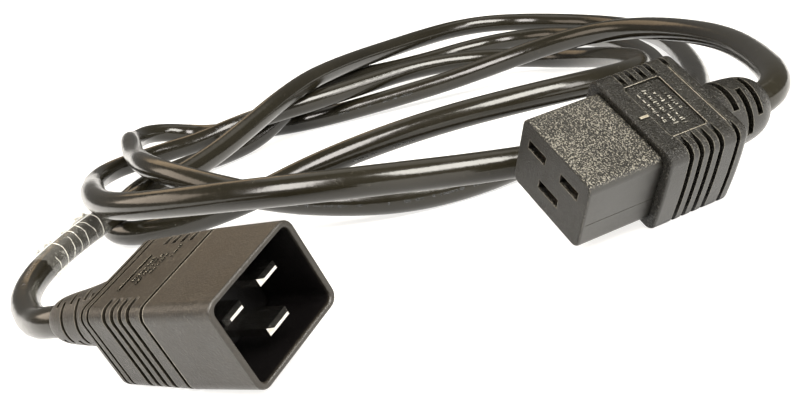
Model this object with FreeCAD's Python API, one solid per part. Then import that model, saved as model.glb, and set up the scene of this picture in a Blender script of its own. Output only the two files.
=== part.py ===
import FreeCAD, Part
import os
import math

V = FreeCAD.Vector

# ---------------------------------------------------------------- frame
# Millimetres, +Z up. The C19 connector lies along Y, its contact face
# towards -Y, rolled about its own axis and resting on one long lower edge.
# Each connector is built in its own frame: x across the wide side, y down
# the narrow side towards the earth contact, z from the mating face to the
# cable outlet. It is then placed by the columns below.

C19_ROLL_X, C19_ROLL_Z = 0.81297, -0.58231      # wide side, in row axes
C19_FACE_Y = -32.5
C19_AXIS_Z = 18.43

C20_ORIGIN = (4.347, -106.446, 17.37)          # centre of the mouth
C20_U = (-0.430110, 0.852043, 0.298377)
C20_V = (-0.074966, 0.295660, -0.952347)
C20_A = (-0.899659, -0.431982, -0.063292)

# ---------------------------------------------------------------- C19
BLOCK_W, BLOCK_H, BLOCK_L = 27.2, 20.7, 21.0
BLOCK_R = 2.4
SPIGOT_W, SPIGOT_H = 23.2, 16.8
C19_PITCH = 6.5                 # line and neutral, each side of the middle
C19_LN_Y, C19_E_Y = -4.45, 3.55
SLOT_GAP, SLOT_H = 0.4, 2.7
GRIP_W, GRIP_H, GRIP_END = 32.4, 25.0, 45.0
GRIP_R = 3.0
C19_RELIEF_END = 65.0

# ---------------------------------------------------------------- C20
SHROUD_W, SHROUD_H, SHROUD_R = 30.9, 23.8, 3.1
MOUTH_W, MOUTH_H, MOUTH_R, MOUTH_DEPTH = 27.8, 21.0, 1.9, 20.4
SEAM = 21.6
C20_REAR_W, C20_REAR_H, C20_END = 28.8, 22.9, 47.2
C20_RELIEF_END = 76.8
C20_TILT = 2.4                  # the soft relief leans down by this angle, degrees
C20_PITCH = 6.5
C20_LN_Y, C20_E_Y = -3.25, 4.75
BLADE_W, BLADE_T = {"line": 6.6, "neutral": 6.6, "earth": 7.4}, 2.0
LN_TIP, E_TIP = 4.3, 1.5

# ---------------------------------------------------------------- cord
CORD_D = 8.4
CORE_D = 2.9
STRAND_D = 1.6
CORE_RING = 1.75                # the three cores lie on this circle in the jacket
FILM_IN, FILM_OUT = 8.9, 9.4

CORD_ROUTE = [
    (0, 23.2, 18.43), (0, 30.4, 18.43), (-0.95, 37.1, 18.65), (-4.37, 43.35, 19.61),
    (-12.19, 50.36, 20.24), (-24.32, 58.93, 20.08), (-40.49, 69.3, 19.7), (-60.2, 80.65, 19.53),
    (-82.82, 91.29, 19.18), (-107.19, 99.87, 18.54), (-131.7, 105.55, 18.18), (-154.99, 107.09, 17.7),
    (-176.24, 103.28, 16.44), (-194.9, 93.74, 13.94), (-210.8, 79.33, 10.47), (-224.37, 61.74, 7.49),
    (-236.58, 42.67, 6), (-248.38, 23.81, 4.91), (-260.85, 7.07, 4.32), (-274.8, -5.76, 4.38),
    (-289.99, -14.01, 4.39), (-304.64, -19.14, 4.33), (-316.23, -24.01, 4.42), (-322.71, -31.3, 6.73),
    (-324.19, -40.34, 9.8), (-320.7, -49.18, 11.78), (-312.44, -56.01, 12.25), (-299.56, -60.8, 13.93),
    (-283.52, -64.91, 17.04), (-265.45, -69.03, 18.05), (-246.47, -73.2, 17.75), (-227.22, -76.69, 18.33),
    (-208.03, -79.91, 20.2), (-188.85, -83.24, 22.23), (-169.35, -85.11, 22.92), (-149.35, -83.32, 21.66),
    (-129.1, -77.03, 18.07), (-109.55, -66.31, 12.5), (-92.37, -50.98, 7.84), (-79.36, -32.75, 4.57),
    (-72.11, -12.01, 4.32), (-71.18, 10.6, 5.75), (-76.1, 33.88, 6.56), (-86.53, 56.44, 6.14),
    (-102.05, 77.07, 5.19), (-122.08, 95.07, 4.52), (-145.66, 110.29, 4.32), (-171.45, 122.89, 4.46),
    (-198.13, 132.6, 4.88), (-224.32, 138.51, 5.35), (-248.4, 139.55, 5.85), (-268.56, 134.86, 6.44),
    (-282.91, 124.18, 7.04), (-290.14, 107.89, 7.51), (-290.23, 87.09, 8), (-284.66, 63.85, 10.27),
    (-275.82, 40.43, 13.9), (-266.47, 18.59, 15.66), (-258.96, -0.92, 11.97), (-253.62, -18.7, 5.24),
    (-248.09, -36.67, 4.32), (-239.34, -55.38, 6.57), (-226.02, -73.66, 7.64), (-209.19, -89.38, 6.55),
    (-190.94, -99.81, 4.91), (-173.1, -102.27, 4.32), (-156.39, -95.63, 4.72), (-140.54, -82.77, 6.56),
    (-125.58, -66.56, 10.67), (-111.54, -48.68, 16.71), (-98.22, -29.98, 20.59), (-86.97, -11.07, 22.47),
    (-79.22, 7.6, 22.39), (-76.3, 25.69, 21.12), (-78.91, 42.67, 18.9), (-87.18, 58.24, 16.41),
    (-100.72, 72.16, 14.11), (-118.59, 84.27, 11.86), (-139.57, 94.38, 9.63), (-162.26, 101.96, 7.47),
    (-185.06, 106.17, 5.63), (-206.22, 106.21, 5.06), (-223.97, 101.24, 6.44), (-236.87, 90.49, 9.14),
    (-244.26, 74.06, 12.03), (-246.63, 53.23, 13.9), (-245.73, 30.29, 14.22), (-244.43, 7.9, 14.48),
    (-245.7, -11.77, 14.97), (-251.43, -27.68, 13.7), (-261.33, -40.37, 10.57), (-272.06, -51.7, 9.24),
    (-278.36, -62.98, 8.29), (-277.37, -74.22, 8.54), (-269.48, -83.51, 8.7), (-254.87, -89.95, 9.54),
    (-235.39, -94.35, 11.63), (-213.36, -98.14, 14.83), (-190.73, -102.29, 18.36), (-168.47, -106.53, 21.09),
    (-146.85, -109.74, 22.49), (-125.71, -110.31, 23.5), (-104.85, -106.86, 25.01), (-84.58, -99.41, 26.2),
    (-65.99, -88.14, 26.52), (-50.29, -72.76, 25.34), (-38.88, -53.66, 22.79), (-32.79, -32.34, 18.97),
    (-32.21, -9.82, 14.76), (-36.78, 13, 10.89), (-45.99, 35.1, 7.83), (-59.31, 55.72, 5.75),
    (-76.2, 74.39, 4.66), (-95.99, 91.12, 4.34), (-117.78, 106.51, 4.36), (-140.69, 121.04, 4.37),
    (-164.28, 134.48, 4.36), (-188.32, 146.14, 4.34), (-212.52, 154.93, 4.45), (-236.29, 159.71, 4.95),
    (-258.67, 159.61, 6.23), (-278.23, 154.25, 8.54), (-293.29, 143.82, 11.67), (-302.3, 129.11, 14.88),
    (-304.44, 111.09, 16.97), (-299.93, 90.9, 18.13), (-289.98, 69.66, 19.46), (-276.29, 48.22, 21.28),
    (-260.55, 27.17, 22.89), (-244, 6.62, 23.66), (-227.37, -13.64, 21.95), (-211.39, -33.89, 18.63),
    (-196.47, -54, 15.32), (-183.06, -73.71, 13.86), (-171.23, -92.4, 13.85), (-160.36, -108.96, 12.52),
    (-149.69, -122.81, 10.62), (-138.13, -133.34, 9.19), (-125.12, -140.31, 8.05), (-111.34, -144.02, 7.61),
    (-97.99, -145.17, 7.6), (-86.41, -145.2, 8), (-77.41, -144.37, 9.35), (-70.453, -142.734, 10.51),
    (-63.172, -139.345, 11.453), (-55.911, -135.725, 12.288),
]
C19_CORD_START = 55.7     # depth behind the C19 face
C20_CORD_START = 67.2       # depth behind the C20 mouth
FILM_NEAR, FILM_FAR = 84.0, 119.0   # distances of its two ends along the cord from the C20 end


def place(shape, origin, u, v, a):
    m = FreeCAD.Matrix(u[0], v[0], a[0], origin[0],
                       u[1], v[1], a[1], origin[1],
                       u[2], v[2], a[2], origin[2],
                       0, 0, 0, 1)
    s = shape.copy()
    s.Placement = FreeCAD.Placement(m).multiply(s.Placement)
    return s


def unit(v):
    n = math.sqrt(sum(c * c for c in v))
    return tuple(c / n for c in v)


def cross(p, q):
    return (p[1] * q[2] - p[2] * q[1], p[2] * q[0] - p[0] * q[2], p[0] * q[1] - p[1] * q[0])


C19_U = unit((C19_ROLL_X, 0.0, C19_ROLL_Z))
C19_A = (0.0, 1.0, 0.0)
C19_V = cross(C19_A, C19_U)
C19_ORIGIN = (0.0, C19_FACE_Y, C19_AXIS_Z)

_a = unit(C20_A)
_d = sum(p * q for p, q in zip(C20_U, _a))
_u = unit(tuple(p - _d * q for p, q in zip(C20_U, _a)))
_v = cross(_a, _u)


def c19(shape):
    return place(shape, C19_ORIGIN, C19_U, C19_V, C19_A)


def c20(shape):
    return place(shape, C20_ORIGIN, _u, _v, _a)


# ---------------------------------------------------------------- shapes
def save(name, shape):
    s = shape
    if s.ShapeType == "Compound" and len(s.Solids) == 1:
        s = s.Solids[0]
    s = s.removeSplitter() if hasattr(s, "removeSplitter") else s
    if s.ShapeType == "Compound" and len(s.Solids) == 1:
        s = s.Solids[0]
    s.exportStep("parts/%s.step" % name)
    b = s.BoundBox
    print("%-22s valid %s solids %d vol %.1f  x %.1f..%.1f y %.1f..%.1f z %.2f..%.2f" % (
        name, s.isValid(), len(s.Solids), s.Volume,
        b.XMin, b.XMax, b.YMin, b.YMax, b.ZMin, b.ZMax))
    return s


def box(w, h, z0, z1, cx=0.0, cy=0.0):
    return Part.makeBox(w, h, z1 - z0, V(cx - w / 2, cy - h / 2, z0))


def rod(d, z0, z1, cx=0.0, cy=0.0):
    return Part.makeCylinder(d / 2, z1 - z0, V(cx, cy, z0), V(0, 0, 1))


def rwire(w, h, r, z, bulge=0.0):
    """Rounded rectangle; bulge bows the two short sides outwards."""
    a, b = w / 2, h / 2
    k = r * (1 - math.sqrt(0.5))
    pts = [V(-a + r, -b, z), V(a - r, -b, z), V(a, -b + r, z), V(a, b - r, z),
           V(a - r, b, z), V(-a + r, b, z), V(-a, b - r, z), V(-a, -b + r, z)]
    mids = [V(a - k, -b + k, z), V(a - k, b - k, z), V(-a + k, b - k, z), V(-a + k, -b + k, z)]
    e = [Part.LineSegment(pts[0], pts[1]).toShape(),
         Part.Arc(pts[1], mids[0], pts[2]).toShape()]
    if bulge > 0:
        e.append(Part.Arc(pts[2], V(a + bulge, 0, z), pts[3]).toShape())
    else:
        e.append(Part.LineSegment(pts[2], pts[3]).toShape())
    e += [Part.Arc(pts[3], mids[1], pts[4]).toShape(),
          Part.LineSegment(pts[4], pts[5]).toShape(),
          Part.Arc(pts[5], mids[2], pts[6]).toShape()]
    if bulge > 0:
        e.append(Part.Arc(pts[6], V(-a - bulge, 0, z), pts[7]).toShape())
    else:
        e.append(Part.LineSegment(pts[6], pts[7]).toShape())
    e.append(Part.Arc(pts[7], mids[3], pts[0]).toShape())
    return Part.Wire(e)


def prism(w, h, r, z0, z1, bulge=0.0):
    return Part.Face(rwire(w, h, r, z0, bulge)).extrude(V(0, 0, z1 - z0))


def edges_at(shape, z, tol=1e-4):
    out = []
    for e in shape.Edges:
        b = e.BoundBox
        if abs(b.ZMin - z) < tol and abs(b.ZMax - z) < tol:
            out.append(e)
    return out


def soften(shape, z, r):
    try:
        s = shape.makeFillet(r, edges_at(shape, z))
        if s.isValid() and s.Volume > 0:
            return s
    except Exception:
        pass
    print("edge at", z, "left sharp")
    return shape


def turned(profile):
    """Solid of revolution about z from (z, radius) pairs, smooth between them."""
    pts = [V(r, 0, z) for z, r in profile]
    c = Part.BSplineCurve()
    c.interpolate(pts)
    e = [Part.LineSegment(V(0, 0, pts[0].z), pts[0]).toShape(), c.toShape(),
         Part.LineSegment(pts[-1], V(0, 0, pts[-1].z)).toShape(),
         Part.LineSegment(V(0, 0, pts[-1].z), V(0, 0, pts[0].z)).toShape()]
    return Part.Face(Part.Wire(e)).revolve(V(0, 0, 0), V(0, 0, 1), 360)


def ring(r_out, r_in, z0, z1):
    return Part.makeCylinder(r_out, z1 - z0, V(0, 0, z0)).cut(
        Part.makeCylinder(r_in, z1 - z0 + 0.2, V(0, 0, z0 - 0.1)))


def sector(r_out, r_in, z0, z1, mid_deg, half_deg):
    """Part of a ring, centred on mid_deg."""
    s = Part.makeCylinder(r_out, z1 - z0, V(0, 0, z0), V(0, 0, 1), 2 * half_deg)
    s.rotate(V(0, 0, 0), V(0, 0, 1), mid_deg - half_deg)
    return s.cut(Part.makeCylinder(r_in, z1 - z0 + 0.2, V(0, 0, z0 - 0.1)))


def frame_cut(w, h, r, depth, z0, z1, bulge=0.0):
    """A groove all round a rounded rectangle."""
    outer = prism(w + 6, h + 6, r + 3, z0, z1)
    inner = prism(w - 2 * depth, h - 2 * depth, max(r - depth * 0.5, 0.4), z0, z1, bulge)
    return outer.cut(inner)


def side_groove(w, h, r, depth, z0, z1, reach, side, bulge=0.0):
    """A groove over one short side that runs out on the two wide sides."""
    g = frame_cut(w, h, r, depth, z0, z1, bulge)
    x0 = w / 2 - reach
    keep = Part.makeBox(reach + 6, h + 10, z1 - z0 + 2, V(x0, -h / 2 - 5, z0 - 1))
    if side < 0:
        keep = Part.makeBox(reach + 6, h + 10, z1 - z0 + 2, V(-x0 - reach - 6, -h / 2 - 5, z0 - 1))
    g = g.common(keep)
    # the floor rises to nothing towards the run-out
    for s in (-1, 1):
        wedge = Part.Face(Part.Wire(Part.makePolygon([
            V(side * x0, s * (h / 2 - depth), z0 - 1),
            V(side * (x0 + reach * 0.55), s * (h / 2 - depth), z0 - 1),
            V(side * x0, s * (h / 2 + 0.02), z0 - 1),
            V(side * x0, s * (h / 2 - depth), z0 - 1)]))).extrude(V(0, 0, z1 - z0 + 2))
        g = g.cut(wedge)
    return g


def core_path(x0, y0, z0, x1, y1, z2, z3, lead):
    """Straight, bend, straight, bend, straight; returns the wire."""
    pts = [V(x0, y0, z0), V(x0, y0, z0 + lead), V(x1, y1, z2), V(x1, y1, z3)]
    return rounded(pts, [])


def rounded(pts, radii):
    edges = []
    last = pts[0]
    for i in range(1, len(pts) - 1):
        a = (pts[i] - pts[i - 1])
        b = (pts[i + 1] - pts[i])
        la, lb = a.Length, b.Length
        a.normalize()
        b.normalize()
        turn = math.acos(max(-1.0, min(1.0, a.dot(b))))
        tl = 0.45 * min(la, lb)
        r = tl / math.tan(turn / 2)
        radii.append(r)
        p1 = pts[i] - a * tl
        p2 = pts[i] + b * tl
        nb = b - a * a.dot(b)
        nb.normalize()
        c = p1 + nb * r
        half = turn / 2
        mid = c - nb * (r * math.cos(half)) + a * (r * math.sin(half))
        edges.append(Part.LineSegment(last, p1).toShape())
        edges.append(Part.Arc(p1, mid, p2).toShape())
        last = p2
    edges.append(Part.LineSegment(last, pts[-1]).toShape())
    return Part.Wire(edges)


def swept(wire, d):
    e = wire.Edges[0]
    p = e.valueAt(e.FirstParameter)
    t = e.tangentAt(e.FirstParameter)
    sec = Part.Wire([Part.makeCircle(d / 2, p, t)])
    s = wire.makePipeShell([sec], True, False)
    if s.ShapeType != "Solid":
        s = s.Solids[0] if s.Solids else Part.Solid(s)
    return s


os.makedirs("parts", exist_ok=True)
parts = {}

# ================================================================ C19
z_neck = 18.0
z_core19 = 27.5
contacts19 = {"line": (C19_PITCH, C19_LN_Y), "neutral": (-C19_PITCH, C19_LN_Y), "earth": (0.0, C19_E_Y)}
angle19 = {"line": -30.0, "neutral": 210.0, "earth": 90.0}

block = prism(BLOCK_W, BLOCK_H, BLOCK_R, 0, BLOCK_L)
block = soften(block, 0, 0.7)
block = block.fuse(prism(SPIGOT_W, SPIGOT_H, 1.5, BLOCK_L, 25.0))
for n, (cx, cy) in contacts19.items():
    sw = BLADE_W[n] + SLOT_GAP
    block = block.cut(box(sw, SLOT_H, -0.5, 2.2, cx, cy))
    block = block.cut(box(BLADE_W[n] + 1.0, 4.2, 2.0, z_neck, cx, cy))
    block = block.cut(rod(4.0, z_neck - 0.2, 25.5, cx, cy))
# faint mould line and gate mark on the short sides
for s in (-1, 1):
    block = block.cut(Part.makeBox(0.16, 0.22, BLOCK_L, V(s * BLOCK_W / 2 - 0.08, 2.2, 0.9)))
parts["c19_front_block"] = c19(block)

grip = prism(GRIP_W, GRIP_H, GRIP_R, BLOCK_L, GRIP_END, 0.35)
grip = soften(grip, BLOCK_L, 0.8)
grip = soften(grip, GRIP_END, 1.6)
relief = turned([(42.0, 9.2), (46.0, 9.3), (50.0, 9.25), (54.0, 9.0), (58.0, 8.6), (61.0, 7.9), (63.4, 6.6), (C19_RELIEF_END, 5.0)])
grip = grip.fuse(relief)
# wide face: a sunk panel with a raised tick in front of it, a thin line behind
panel = prism(18.8, 10.9, 1.0, 0, 0.45)
panel.rotate(V(0, 0, 0), V(1, 0, 0), -90)
panel.translate(V(0.3, -GRIP_H / 2 - 0.001, 31.1))
grip = grip.cut(panel)
tick = Part.makeBox(0.85, 0.8, 2.6, V(1.2, -GRIP_H / 2 - 0.4, 22.5))
grip = grip.fuse(tick)
grip = grip.cut(Part.makeBox(23.0, 0.3, 0.3, V(-11.2, -GRIP_H / 2 - 0.01, 41.2)))
grip = grip.cut(Part.makeBox(23.0, 0.3, 0.3, V(-11.2, GRIP_H / 2 - 0.29, 41.2)))
for z in (27.2, 30.25, 33.3, 36.35):
    for s in (-1, 1):
        grip = grip.cut(side_groove(GRIP_W, GRIP_H, GRIP_R, 1.5, z - 0.72, z + 0.72, 6.6, s, 0.35))
for s in (-1, 1):
    grip = grip.cut(side_groove(GRIP_W, GRIP_H, GRIP_R, 1.3, 40.75, 42.05, 5.0, s, 0.35))
for z, m, half in ((51.0, 254, 54), (54.7, 316, 42), (58.4, 287, 42)):
    for q in (0, 180):
        grip = grip.cut(sector(12.0, 5.9, z - 0.95, z + 0.95, m + q, half))
# hollow for the front block's spigot, the contacts and the cores
grip = grip.cut(prism(SPIGOT_W, SPIGOT_H, 1.5, BLOCK_L - 0.01, 28.0))
grip = grip.cut(box(21.0, 13.6, 28.0 - 0.01, 43.0))
grip = grip.cut(rod(CORD_D + 0.8, 42.5, C19_RELIEF_END + 1))
parts["c19_grip"] = c19(grip)

plate = prism(SPIGOT_W, SPIGOT_H, 1.5, 25.0, 28.0)
for cx, cy in contacts19.values():
    plate = plate.cut(rod(4.0, 24.5, 28.5, cx, cy))
parts["c19_contact_plate"] = c19(plate)

for n, (cx, cy) in contacts19.items():
    body = box(BLADE_W[n] + 1.0, 4.2, 2.2, z_neck, cx, cy)
    body = body.cut(box(BLADE_W[n] + 0.3, 2.3, 2.0, 17.0, cx, cy))
    # spring windows in both broad walls
    for q in (-1, 1):
        body = body.cut(Part.makeBox(1.0, 3.0, 8.0, V(cx + q * 2.2 - 0.5, cy + (0.8 if q > 0 else -3.8), 6.0)))
    body = body.fuse(rod(3.4, z_neck, 27.0, cx, cy))
    body = body.cut(rod(2.2, 21.0, 27.5, cx, cy))
    parts["c19_contact_" + n] = c19(body)
    parts["c19_strands_" + n] = c19(rod(STRAND_D, 21.0, z_core19, cx, cy))
    ang = math.radians(angle19[n])
    x1, y1 = CORE_RING * math.cos(ang), CORE_RING * math.sin(ang)
    w = core_path(cx, cy, z_core19, x1, y1, 43.0, C19_CORD_START, 3.0)
    parts["c19_core_" + n] = c19(swept(w, CORE_D))

# ================================================================ C20
contacts20 = {"line": (-C20_PITCH, C20_LN_Y, LN_TIP), "neutral": (C20_PITCH, C20_LN_Y, LN_TIP), "earth": (0.0, C20_E_Y, E_TIP)}
angle20 = {"line": 210.0, "neutral": -30.0, "earth": 90.0}

shroud = prism(SHROUD_W, SHROUD_H, SHROUD_R, 0, SEAM)
shroud = shroud.cut(prism(MOUTH_W, MOUTH_H, MOUTH_R, -1, MOUTH_DEPTH))
shroud = soften(shroud, 0, 0.55)
shroud = shroud.fuse(prism(25.0, 18.0, 1.5, SEAM, 26.0))
for n, (cx, cy, tip) in contacts20.items():
    shroud = shroud.cut(box(BLADE_W[n], BLADE_T, MOUTH_DEPTH - 1, 27.0, cx, cy))
parts["c20_shroud"] = c20(shroud)

g = Part.makeLoft([rwire(SHROUD_W, SHROUD_H, SHROUD_R, SEAM), rwire(C20_REAR_W, C20_REAR_H, SHROUD_R, C20_END)], True, True)
g = soften(g, C20_END, 1.2)
relief = turned([(43.0, 9.0), (48.0, 9.2), (52.0, 8.9), (56.0, 8.3), (60.0, 7.7), (64.0, 7.2), (68.0, 6.8),
                 (71.0, 6.45), (73.6, 6.05), (75.6, 5.55), (C20_RELIEF_END, 5.0)])
for k, z in enumerate((51.4, 54.9, 58.4, 61.9, 65.4, 68.9, 72.2)):
    for m in ((0, 180) if k % 2 else (90, 270)):
        relief = relief.cut(sector(12.0, 5.3 if z > 67 else 5.8, z - (0.7 if z > 60 else 0.85), z + (0.7 if z > 60 else 0.85), m + 28, 50))


def lean(shape):
    s = shape.copy()
    s.rotate(V(0, 0, 46.0), V(-0.785, -0.612, 0), C20_TILT)
    return s


relief = lean(relief)
g = g.fuse(relief)


def c20_w(z):
    t = (z - SEAM) / (C20_END - SEAM)
    return SHROUD_W + (C20_REAR_W - SHROUD_W) * t, SHROUD_H + (C20_REAR_H - SHROUD_H) * t


w, h = c20_w(22.2)
g = g.cut(frame_cut(w, h, SHROUD_R, 1.1, SEAM + 0.1, SEAM + 1.2))
for z in (27.2, 30.2, 33.2, 36.2):
    w, h = c20_w(z)
    for s in (-1, 1):
        g = g.cut(side_groove(w, h, SHROUD_R, 1.5, z - 0.72, z + 0.72, 5.6, s))
for z in (42.7, 45.0):
    w, h = c20_w(z)
    g = g.cut(frame_cut(w, h, SHROUD_R, 0.85, z - 0.45, z + 0.45))
w, h = c20_w(36.9)
g = g.cut(Part.makeBox(12.4, 0.5, 0.3, V(-6.8, -h / 2 - 0.2, 36.8)))
g = g.cut(prism(25.0, 18.0, 1.5, SEAM - 0.01, 29.0))
g = g.cut(box(21.0, 14.6, 29.0 - 0.01, 43.5))
g = g.cut(lean(rod(CORD_D + 0.6, 42.5, C20_RELIEF_END + 1)))
parts["c20_grip"] = c20(g)

plate = prism(25.0, 18.0, 1.5, 26.0, 29.0)
for cx, cy, tip in contacts20.values():
    plate = plate.cut(rod(4.0, 25.5, 29.5, cx, cy))
parts["c20_contact_plate"] = c20(plate)

for n, (cx, cy, tip) in contacts20.items():
    half = BLADE_W[n] / 2
    blade = box(BLADE_W[n], BLADE_T, tip, 26.0, cx, cy)
    # tapered tip: long slopes on the ends, steeper ones on the flats
    tool = Part.makeLoft([
        Part.Wire(Part.makePolygon([V(cx - half + 1.1, cy - 0.35, tip), V(cx + half - 1.1, cy - 0.35, tip), V(cx + half - 1.1, cy + 0.35, tip),
                                    V(cx - half + 1.1, cy + 0.35, tip), V(cx - half + 1.1, cy - 0.35, tip)])),
        Part.Wire(Part.makePolygon([V(cx - half - 0.15, cy - 1.1, tip + 1.4), V(cx + half + 0.15, cy - 1.1, tip + 1.4), V(cx + half + 0.15, cy + 1.1, tip + 1.4),
                                    V(cx - half - 0.15, cy + 1.1, tip + 1.4), V(cx - half - 0.15, cy - 1.1, tip + 1.4)]))], True, True)
    nose = blade.common(tool)
    blade = nose.fuse(box(BLADE_W[n], BLADE_T, tip + 1.4, 26.0, cx, cy)).removeSplitter()
    blade = blade.fuse(rod(3.4, 26.0, 34.0, cx, cy))
    blade = blade.cut(rod(2.2, 28.5, 34.5, cx, cy))
    parts["c20_blade_" + n] = c20(blade)
    parts["c20_strands_" + n] = c20(rod(STRAND_D, 28.5, 35.0, cx, cy))
    ang = math.radians(angle20[n])
    x1, y1 = CORE_RING * math.cos(ang), CORE_RING * math.sin(ang)
    end = lean(Part.Vertex(V(x1, y1, C20_CORD_START - 0.02))).Point
    mid = lean(Part.Vertex(V(x1, y1, 43.8))).Point
    wr = rounded([V(cx, cy, 35.0), V(cx, cy, 37.4), mid, end], [])
    parts["c20_core_" + n] = c20(swept(wr, CORE_D))

# ================================================================ cord
route = [V(*p) for p in CORD_ROUTE]
radii = []
wire = rounded(route, radii)
print("cord bend radii:", " ".join("%.0f" % r for r in radii))
print("smallest radius %.1f, length %.1f" % (min(radii), wire.Length))
cord = swept(wire, CORD_D)
print("cord volume %.0f, section x length %.0f" % (cord.Volume, math.pi * CORD_D ** 2 / 4 * wire.Length))
parts["cord_jacket"] = cord

# the film follows the same centreline over a short stretch near the C20
line_pts = wire.discretize(Number=int(wire.Length / 2.0))
step = wire.Length / (len(line_pts) - 1)
i0 = int(round((wire.Length - FILM_FAR) / step))
i1 = int(round((wire.Length - FILM_NEAR) / step))
fc = Part.BSplineCurve()
fc.interpolate(line_pts[i0:i1 + 1:2])
fw = Part.Wire([fc.toShape()])
parts["cord_film"] = swept(fw, FILM_OUT).cut(swept(fw, FILM_IN))

for name in sorted(parts):
    save(name, parts[name])
print(len(parts), "nodes")
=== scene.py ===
import math
import random

import bmesh
import bpy
import numpy as np
from mathutils import Matrix, Vector


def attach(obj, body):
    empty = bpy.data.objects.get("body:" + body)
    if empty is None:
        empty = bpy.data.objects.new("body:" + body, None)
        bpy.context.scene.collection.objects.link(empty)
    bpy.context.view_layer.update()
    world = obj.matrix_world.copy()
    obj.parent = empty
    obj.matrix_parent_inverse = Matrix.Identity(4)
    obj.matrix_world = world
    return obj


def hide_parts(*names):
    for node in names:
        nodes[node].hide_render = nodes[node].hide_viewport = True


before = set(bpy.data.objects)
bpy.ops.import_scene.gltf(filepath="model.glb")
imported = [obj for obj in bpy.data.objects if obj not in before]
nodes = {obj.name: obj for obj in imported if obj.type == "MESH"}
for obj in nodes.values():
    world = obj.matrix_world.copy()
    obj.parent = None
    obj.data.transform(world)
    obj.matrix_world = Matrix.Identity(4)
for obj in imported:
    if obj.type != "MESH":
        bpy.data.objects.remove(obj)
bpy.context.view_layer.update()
rng = random.Random(20)

# ------------------------------------------------------------------ camera
cam_data = bpy.data.cameras.new("camera")
cam_data.lens = 55.05
cam_data.sensor_width = 36.0
cam_data.sensor_fit = "HORIZONTAL"
cam_data.clip_start = 0.01
cam_data.clip_end = 60.0
cam = bpy.data.objects.new("camera", cam_data)
bpy.context.collection.objects.link(cam)
right = Vector((0.4393, 0.8640, -0.2461)).normalized()
down = Vector((0.1225, -0.3290, -0.9364))
ahead = Vector((-0.8899, 0.3812, -0.2504)).normalized()
down = ahead.cross(right).normalized()
m = Matrix(((right.x, -down.x, -ahead.x, 0.24276),
            (right.y, -down.y, -ahead.y, -0.17521),
            (right.z, -down.z, -ahead.z, 0.09501),
            (0, 0, 0, 1)))
cam.matrix_world = m
bpy.context.scene.camera = cam

# ------------------------------------------------------------------ connector frames
def unit(v):
    return Vector(v).normalized()


C19_O = Vector((0.0, -0.0325, 0.01843))
C19_U = unit((0.81297, 0.0, -0.58231))
C19_A = Vector((0.0, 1.0, 0.0))
C19_V = C19_A.cross(C19_U)
C20_O = Vector((0.004347, -0.106446, 0.01737))
C20_A = unit((-0.899659, -0.431982, -0.063292))
C20_U = Vector((-0.430110, 0.852043, 0.298377))
C20_U = (C20_U - C20_A * C20_U.dot(C20_A)).normalized()
C20_V = C20_A.cross(C20_U)


def at19(u, v, a):
    return C19_O + (C19_U * u + C19_V * v + C19_A * a) * 0.001


def at20(u, v, a):
    return C20_O + (C20_U * u + C20_V * v + C20_A * a) * 0.001


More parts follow.
